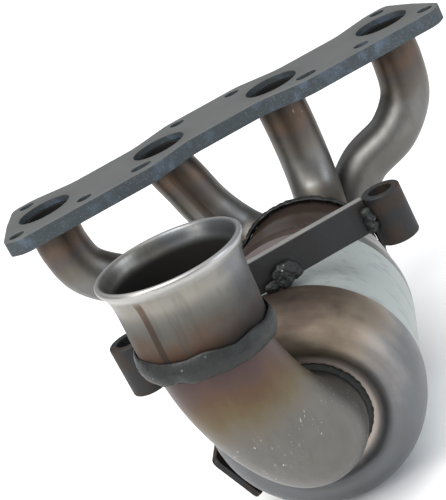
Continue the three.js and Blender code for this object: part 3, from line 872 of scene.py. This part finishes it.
# %% Lay a rippled ring of weld
def bead_ring(name, radius, leg, place, ripples, *nodes, steps=240):
    """A weld bead of that leg in the corner between a tube and a face at height 0."""
    gap = 0.3 * MM
    outline = [
        (radius + gap, gap),
        (radius + leg, gap, leg * 0.15),
        (radius + leg * 0.82, leg * 0.55, leg * 0.25),
        (radius + gap, leg),
    ]
    bm = turned(outline, Matrix.Identity(4), steps)
    for vertex in bm.verts:
        angle = math.atan2(vertex.co.y, vertex.co.x)
        reach = math.hypot(vertex.co.x, vertex.co.y) - radius
        wave = 0.5 + 0.5 * math.cos(ripples * angle + 3 * noise.noise(vertex.co / (9 * MM)))
        if reach > 0.35 * leg:
            vertex.co.xy *= 1 + 0.1 * leg * wave / radius
    lumpy(bm, leg * 0.12, 4 * MM, len(name))
    bmesh.ops.transform(bm, matrix=place, verts=bm.verts)
    return finished(name, bm, weld_finish, "weld", *nodes, sharp=70)


for number, port in enumerate(PORTS, start=1):
    under = Matrix.Translation((port, 0, -PLATE_THICK)) @ Matrix.Rotation(math.pi, 4, "X")
    bead_ring(f"runner_bead_{number}", TUBE_RADIUS, 3.2 * MM, under, 34, f"runner_weld_{number}")

# %% [markdown]
# ## The collector
# The cone starts as a round mouth that holds four tubes, and widens to the can's full width while
# its middle drifts down to the can's axis. So it is spun as a straight cone and then sheared. A
# disc with four round holes closes the mouth, and a threaded boss for a sensor stands on the side.

# %% Spin the cone and lean it over
INLET_RADIUS = 46
SHELL_GAP = 0.6
SHEET = 2 * MM
CONE_TOP = -CAN_LENGTH / MM - SHELL_GAP
cone_line = [(INLET_RADIUS, INLET.z), (48, -130), (55, -116), (59.6, CONE_TOP - 14),
             (63, CONE_TOP - 5.5), (63.6, CONE_TOP)]
cone_outline = walled(smoothed(cone_line, 12, 28), SHEET)
slope_x = INLET.x / (INLET.z - CONE_TOP)
slope_y = INLET.y / (INLET.z - CONE_TOP)
lean = Matrix((
    (1, 0, slope_x, -slope_x * CONE_TOP * MM),
    (0, 1, slope_y, -slope_y * CONE_TOP * MM),
    (0, 0, 1, 0),
    (0, 0, 0, 1),
))
cone = finished("collector_shell", turned(cone_outline, can_frame @ lean, 144),
                collector_steel, "tube_steel", "collector_cone")

# %% Drill the cone for the sensor
SENSOR_LEAN = math.radians(20)
SENSOR_HOLE = 8.55 * MM
sensor_spot = in_can(52, -26, -108)
sensor_axis = can_frame.to_3x3() @ Vector((math.cos(SENSOR_LEAN), 0, math.sin(SENSOR_LEAN)))
sensor_turn = Vector((0, 0, 1)).rotation_difference(sensor_axis)
sensor_frame = Matrix.LocRotScale(sensor_spot, sensor_turn, None)


def drill(piece, radius, frame_matrix, reach):
    """Cut a round hole through a piece with the Boolean modifier and keep the result."""
    bm = bmesh.new()
    bmesh.ops.create_cone(bm, cap_ends=True, segments=64, radius1=radius, radius2=radius,
                          depth=reach, matrix=frame_matrix)
    bit = placed("drill", meshed("drill", bm))
    modifier = piece.modifiers.new("drill", "BOOLEAN")
    modifier.operation = "DIFFERENCE"
    modifier.solver = "EXACT"
    modifier.object = bit
    drilled = applied(piece)
    piece.modifiers.clear()
    piece.data = drilled
    bpy.data.objects.remove(bit)
    drilled.set_sharp_from_angle(angle=math.radians(38))
    print(piece.name, "has", len(drilled.polygons), "faces after drilling")


drill(cone, SENSOR_HOLE, sensor_frame, 40 * MM)

# %% Turn the sensor boss
boss_outline = in_metres([(8.25, -7), (12.5, -7), (12.5, 13, 1.0), (8.25, 13, 0.8)])
finished("sensor_seat", turned(boss_outline, sensor_frame, 96), scale_finish, "black_steel",
         "sensor_boss")

# %% Close the mouth with a drilled disc
DISC_THICK = 3 * MM
DISC_GAP = 0.9 * MM
bm = bmesh.new()
bmesh.ops.create_circle(bm, cap_ends=False, radius=INLET_RADIUS * MM, segments=144)
for across in (-1, 1):
    for level in (-1, 1):
        hole(bm, across * CLUSTER_HALF * MM, level * CLUSTER_HALF * MM,
             TUBE_RADIUS + DISC_GAP, segments=72)
bmesh.ops.triangle_fill(bm, use_beauty=True, edges=bm.edges[:], normal=(0, 0, 1))
sink(bm, bm.faces[:], DISC_THICK)
eased(bm, 0.4 * MM)
mouth = can_frame @ Matrix.Translation(mm(INLET.x, INLET.y, INLET.z - 0.3))
bmesh.ops.transform(bm, matrix=mouth, verts=bm.verts)
finished("collector_disc", bm, collector_steel, "tube_steel", "collector_plate", sharp=70,
         flat=True)

# %% [markdown]
# The bead round the mouth is the roughest weld on the part: black, crusty and full of glints. It
# wraps over the disc's rim, so its outline is a thick skin rather than a corner fillet.

# %% Wrap the crusty bead round the mouth
crust = [(46.3, -3), (48.2, -3.4, 0.6), (49.8, -1.4, 0.8), (49.6, 1.2, 0.8), (48.6, 2.6, 0.5),
         (48.2, 1.4), (46.3, -0.2)]
mouth_edge = can_frame @ Matrix.Translation(mm(*INLET))
bm = turned(in_metres(crust), Matrix.Identity(4), 300)
for vertex in bm.verts:
    if math.hypot(vertex.co.x, vertex.co.y) > 48 * MM:
        vertex.co.xy *= 1 + 0.012 * noise.noise(vertex.co / (5 * MM))
lumpy(bm, 0.7 * MM, 3 * MM, 5)
bmesh.ops.transform(bm, matrix=mouth_edge, verts=bm.verts)
finished("collector_bead", bm, weld_finish, "weld", "collector_weld", sharp=70)

# %% [markdown]
# ## The converter can
# The can is a plain sheet drum. Inside it a mat of pressed fibre holds the ceramic block, whose
# honeycomb would show only through the open ends. Those two CAD solids have the right shape
# already, so they stay and get finishes of their own.

# %% Roll the shell
shell_outline = walled([(CAN_RADIUS, -CAN_LENGTH), (CAN_RADIUS, 0)], SHEET)
finished("can_shell", turned(shell_outline, can_frame, 160), shell_finish, "can_steel",
         "converter_shell")

# %% Fibre and honeycomb
fibre = Finish("pressed_fibre", metallic=0.0)
strand = fibre.clouds(fibre.stretched(fibre.place, 1, 1, 0.2), 0.001, 5)
patchy = fibre.clouds(fibre.place, 0.01)
fibre_colour = fibre.mix(strand, (0.62, 0.58, 0.48), (0.42, 0.38, 0.3))
fibre_finish = fibre.give(fibre_colour, 0.85 + 0.1 * patchy, strand, 0.0004)

comb = Finish("honeycomb", metallic=0.0)
side, down, along = comb.parts(comb.seen_from(can_frame))
CELL = 1.1 * MM
waves = [comb.node("ShaderNodeMath", {"operation": "PINGPONG"}, {0: part, 1: CELL / 2})
         for part in (side, down)]
walls = comb.node("ShaderNodeMath", {"operation": "MINIMUM"}, {0: waves[0], 1: waves[1]})
open_cell = comb.step(walls, 0.06 * MM, 0.16 * MM)
BLOCK_HALF = CAN_LENGTH / 2 - 6 * MM
from_middle = abs(along + CAN_LENGTH / 2)
on_end = comb.step(from_middle, BLOCK_HALF - 0.5 * MM, BLOCK_HALF - 0.1 * MM)
# Painted shade: the open cells are painted near-black, standing in for the shade down their
# channels.
comb_colour = comb.mix(open_cell * on_end, (0.55, 0.5, 0.42), (0.06, 0.05, 0.04))
comb_rough = 0.8 + 0.1 * comb.clouds(comb.place, 0.003)
comb_finish = comb.give(comb_colour, comb_rough, 1 - open_cell * on_end, 0.0006)

for node, finish in (("support_mat", fibre_finish), ("catalyst_monolith", comb_finish)):
    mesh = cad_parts[node].data
    mesh.materials.clear()
    mesh.materials.append(finish)

# %% [markdown]
# ## The end cap
# The cap laps over the shell, which leaves a thin shadow line, rounds over a deep shoulder to a
# crest, and dips in again to the hole for the elbow. A quarter turn of cosine and sine makes the
# shoulder, and a smooth curve makes the dip.

# %% Press the end cap
CAP_RADIUS = 65
CREST_RADIUS = 47
CREST = 36
VALLEY = 30
ELBOW_RADIUS = 30.3
CAP_THICK = 1.1
SHOULDER_STEPS = 20
line = [(CAP_RADIUS, -4), (CAP_RADIUS, -2)]
for i in range(SHOULDER_STEPS):
    angle = math.pi / 2 * i / SHOULDER_STEPS
    sweep = (CAP_RADIUS - CREST_RADIUS) * (1 - math.cos(angle))
    line.append((CAP_RADIUS - sweep, CREST * math.sin(angle)))
dip = [(48.4, 35.9), (45, 35.8), (41.8, 34.4), (39, 31.8), (36, 30.3), (33.5, VALLEY),
       (ELBOW_RADIUS + 0.3, VALLEY)]
outside = in_metres(line) + smoothed(dip, 12, 22)[1:]
finished("end_cap", turned(walled(outside, CAP_THICK * MM), can_frame, 180), cap_finish,
         "dome_steel", "outlet_dome")
bead_ring("elbow_bead", ELBOW_RADIUS * MM, 3.2 * MM,
          can_frame @ Matrix.Translation(mm(0, 0, VALLEY)), 46, "elbow_weld")

# %% [markdown]
# ## The elbow and its cup
# The elbow leaves the cap square, bends through a right angle and ends upright under the cup. A
# Bezier curve with its handles along those two directions is that bend. The cup is a turned
# piece: a straight barrel, a flare, and an edge rolled over into a bright bead.

# %% Bend the elbow
ELBOW_TOP = mm(-90.4, -232.5, -42)
CUP_LEAN = math.radians(3)
cup_frame = Matrix.Translation(ELBOW_TOP) @ Matrix.Rotation(CUP_LEAN, 4, "Y")
cup_up = (cup_frame.to_3x3() @ Vector((0, 0, 1))).normalized()
FOOT = 8
STUB = 5
PULL = 37
HANDLE = 43 * MM
bend = interpolate_bezier(in_can(0, 0, VALLEY + STUB), in_can(-5, 0, VALLEY + STUB + PULL),
                          ELBOW_TOP - cup_up * HANDLE, ELBOW_TOP, 200)
elbow_line = [in_can(0, 0, VALLEY - FOOT), *bend, ELBOW_TOP + cup_up * 8 * MM]
ELBOW_SEAM = math.radians(160)
bm = drawn(even(elbow_line, 120), ELBOW_RADIUS * MM, TUBE_WALL, ELBOW_SEAM, 96)
finished("elbow_tube", bm, elbow_steel, "tube_steel", "outlet_elbow")

# %% [markdown]
# The cup's finish has marks of its own. The barrel was rolled from sheet, so a brown seam runs up
# it, and the elbow's weld has burnt an orange patch above the band. Inside, everything below the
# flare is painted black as painted shade, and one side is painted darker and bluer as painted
# shade.
# Its own frame makes each of these an angle, a height or a radius.

# %% Cup steel
SEAM_ANGLE = math.radians(-134)
cup = Finish("bright_cup", metallic=0.9)
cx, cy, cz = cup.parts(cup.seen_from(cup_frame))
cup_radius = (cx * cx + cy * cy) ** 0.5
turn = cup.node("ShaderNodeMath", {"operation": "ARCTAN2"}, {0: cy, 1: cx})
cloud = cup.clouds(cup.place, 0.02, 4)
streak = cup.clouds(cup.joined(cx, cy, cz * 0.12), 0.004, 4)
hairs = cup.clouds(cup.joined(cx, cy, cz * 0.04), 0.0008, 3)
# Painted shade: one side of the cup is painted darker, with a blue cast.
painted_shade_side = cup.step(cx + 0.3 * cy + 0.02 * (cloud - 0.5), 0.004, 0.018)
lip = cup.step(cup_radius, 0.0368, 0.0386)
burnt = cup.step(cz + 0.03 * (cloud - 0.5) + 0.008 * (streak - 0.5), 0.026, 0.006)
purple = cup.step(cx + 0.012 * cloud, 0.002, 0.026)
rust = cup.mix(purple, (0.19, 0.078, 0.028), (0.075, 0.048, 0.038))
seam_line = cup.step(abs(turn - SEAM_ANGLE + 0.02 * (streak - 0.5)), 0.075, 0.045)
below_flare = cup.step(cz, 0.043, 0.038)
# Painted shade: inside, below the flare, the cup is painted near-black.
within = cup.step(cup_radius, 0.0356, 0.0344) * cup.step(cz, 0.043, 0.036)
cup_colour = cup.layers(
    (0.25, 0.235, 0.2), (cloud, (0.15, 0.15, 0.143)), (0.7 * painted_shade_side, (0.1, 0.112, 0.128)),
    (0.35 * cup.step(streak, 0.48, 0.66), (0.12, 0.11, 0.098)), (0.6 * lip, (0.45, 0.445, 0.44)),
    (0.92 * burnt, rust), (0.85 * seam_line * below_flare, (0.07, 0.042, 0.028)), (within, INSIDE_SHADE))
cup_rough = 0.26 + 0.12 * streak + 0.08 * hairs + 0.5 * within
cup_finish = cup.give(cup_colour, cup_rough, 0.5 * hairs + 0.4 * streak, 0.00008)

# %% Spin the cup
barrel = [(34.5, 0), (34.9, 12), (35, 24), (35.3, 32), (36, 37.5), (37.4, 41.5), (39, 43.8),
          (39.9, 45.4), (39.8, 47.1), (38.6, 48), (37.2, 47.5), (36.2, 45.4), (35.2, 41.5),
          (34, 37), (33.3, 31), (33, 24), (32.8, 12), (32.5, 0)]
finished("flared_cup", turned(smoothed(barrel, 10, 100), cup_frame, 180), cup_finish,
         "cup_steel", "outlet_cup")

# %% [markdown]
# The band that ties the cup to the elbow is a thick, smooth weld whose edges wander. The ring is
# spun straight, and its upper and lower edges are then moved by slow noise round the axis.

# %% Run the weld band round the cup's foot
BAND_LEAN = math.radians(7)
band = [(32.6, -8), (35.4, -8.4, 1.4), (37.6, -4, 2.2), (37.9, 0.5, 2.2), (36.6, 4.6, 1.2),
        (35.8, 4.9), (35.8, -3), (32.6, -3)]
bm = turned(in_metres(band), Matrix.Identity(4), 240)
for vertex in bm.verts:
    angle = math.atan2(vertex.co.y, vertex.co.x)
    ring = Vector((math.cos(angle), math.sin(angle), 0))
    if vertex.co.xy.length > 34.5 * MM:
        pace, swing = (2.3, 1) if vertex.co.z > -1 * MM else (3.1, 1.3)
        vertex.co.z += 2.2 * MM * noise.noise(ring * pace) * swing
        vertex.co.xy *= 1 + 0.018 * noise.noise(vertex.co / (14 * MM))
lumpy(bm, 0.35 * MM, 7 * MM, 9)
band_frame = Matrix.Translation(ELBOW_TOP) @ Matrix.Rotation(BAND_LEAN, 4, "Y")
bmesh.ops.transform(bm, matrix=band_frame, verts=bm.verts)
finished("cup_band", bm, weld_finish, "weld", "cup_weld", sharp=70)

# %% [markdown]
# ## The mounting bracket
# A flat bar lies across the can, with a short thick tube at each end for a bolt. The bar is a box
# whose edges are eased and whose ends stop short of the tubes, and the tubes are turned with
# rounded mouths.

# %% Saw the bar and turn the bosses
bm = bmesh.new()
size = strap_high - strap_low
bmesh.ops.create_cube(bm, size=1, matrix=Matrix.Diagonal((*size, 1)))
long_edges = [e for e in bm.edges if abs(e.verts[0].co.x - e.verts[1].co.x) > size.x / 2]
bmesh.ops.subdivide_edges(bm, edges=long_edges, cuts=24, use_grid_fill=True)
soften(bm, 0.7 * MM)
for vertex in bm.verts:
    vertex.co.z += 0.35 * MM * noise.noise(Vector((vertex.co.x / (25 * MM), 0, 2)))
bmesh.ops.translate(bm, vec=(strap_low + strap_high) / 2, verts=bm.verts)
finished("cross_bar", bm, scale_finish, "black_steel", "support_strap", flat=True)

BOLT_BORE = 7 * MM
for side in ("left", "right"):
    low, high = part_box(f"boss_{side}")
    middle = (low + high) / 2
    reach = high.z - middle.z
    outer = (high.x - low.x) / 2
    outline = [(BOLT_BORE, -reach, 0.6 * MM), (outer, -reach, 1.0 * MM),
               (outer, reach, 1.0 * MM), (BOLT_BORE, reach, 0.6 * MM)]
    bm = turned(outline, Matrix.Translation(middle), 96)
    finished(f"bolt_tube_{side}", bm, scale_finish, "black_steel", f"boss_{side}", flat=True)

# %% [markdown]
# ## Lumps of weld on the bracket
# Here the weld is not a ring but heaps of metal. Each heap is a few squeezed balls that run into
# each other, which a voxel remesh fuses into one skin before it is roughened.

# %% Heap up weld metal
def heap(name, balls, voxel, rough, *nodes):
    """Fuse squeezed balls, each a middle and three half sizes in metres, into one lumpy piece."""
    bm = bmesh.new()
    for middle, half in balls:
        place = Matrix.LocRotScale(middle, None, half)
        bmesh.ops.create_icosphere(bm, subdivisions=3, radius=1, matrix=place)
    soft = placed(name, meshed(name, bm))
    fuse = soft.modifiers.new("fuse", "REMESH")
    fuse.mode = "VOXEL"
    fuse.voxel_size = voxel
    skin = applied(soft)
    bpy.data.objects.remove(soft)
    bm = bmesh.new()
    bm.from_mesh(skin)
    for _ in range(2):
        bmesh.ops.smooth_vert(bm, verts=bm.verts, factor=0.5, use_axis_x=True,
                              use_axis_y=True, use_axis_z=True)
    lumpy(bm, rough, 3.2 * MM, len(name))
    lumpy(bm, rough * 0.4, 1.1 * MM, len(name) + 3)
    bmesh.ops.recalc_face_normals(bm, faces=bm.faces)
    return finished(name, bm, weld_finish, "weld", *nodes, sharp=80)


heap("bar_weld_heap", [
    (hot_spot + mm(1, 0.4, 0.6), mm(8.2, 3.4, 6)),
    (hot_spot + mm(6.5, 0.8, -2.6), mm(4.6, 2.8, 3.6)),
    (hot_spot + mm(-8.5, 0.8, -3.4), mm(5.5, 2.6, 3.2)),
    (hot_spot + mm(-1, -0.6, -4), mm(5.4, 3.0, 3.4)),
], 0.45 * MM, 0.8 * MM, "strap_weld")

for side in ("left", "right"):
    low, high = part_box(f"boss_weld_{side}")
    balls = []
    for i in range(6):
        share = (i + 0.5) / 6
        shift = mm(0.8 * math.sin(2.3 * i), 0.4 * math.cos(3.1 * i), 0)
        middle = Vector(((low.x + high.x) / 2, (low.y + high.y) / 2,
                         low.z + share * (high.z - low.z))) + shift
        balls.append((middle, mm(3.6, 3.0, 2.5)))
    heap(f"bolt_tube_bead_{side}", balls, 0.4 * MM, 0.6 * MM, f"boss_weld_{side}")

# %% [markdown]
# ## The side bracket
# Low on the can's left side sits a flat plate that runs out past the can's seam, with a line of
# weld under its lower edge. It is a plate with rounded corners, made flat and then turned against
# the drum's side, from which it stands off by a little more than the cap's rim.

# %% Cut the side plate and weld it on
SIDE_TILT = math.radians(24)
SIDE_MIDDLE = -12
SIDE_ACROSS = 36 * MM
SIDE_ALONG = 56 * MM
SIDE_BEAD_RUN = 27
SIDE_DABS = 8
SIDE_STAND = 1.8 * MM
SIDE_THICK = 4 * MM
side_frame = can_frame @ Matrix.Rotation(SIDE_TILT, 4, "Z")
bm = bmesh.new()
bmesh.ops.create_grid(bm, x_segments=1, y_segments=1, size=0.5)
bmesh.ops.scale(bm, vec=(SIDE_ACROSS, SIDE_ALONG, 1), verts=bm.verts)
round_off(bm, bm.verts[:], 4 * MM, 6)
sink(bm, bm.faces[:], SIDE_THICK)
bmesh.ops.recalc_face_normals(bm, faces=bm.faces)
soften(bm, 0.5 * MM)
stand = Matrix.Translation((CAN_RADIUS + SIDE_STAND, 0, SIDE_MIDDLE * MM))
upright = Matrix(((0, 0, -1, 0), (1, 0, 0, 0), (0, 1, 0, 0), (0, 0, 0, 1)))
bmesh.ops.transform(bm, matrix=side_frame @ stand @ upright, verts=bm.verts)
finished("side_plate", bm, scale_finish, "black_steel", "side_bracket", flat=True)

low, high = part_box("side_weld")
balls = []
for i in range(SIDE_DABS):
    share = (i + 0.5) / SIDE_DABS - 0.5
    middle = (low + high) / 2 + can_axis * share * SIDE_BEAD_RUN * MM
    balls.append((middle, mm(2.4, 2.4, 1.9)))
heap("side_bead", balls, 0.4 * MM, 0.5 * MM, "side_weld")
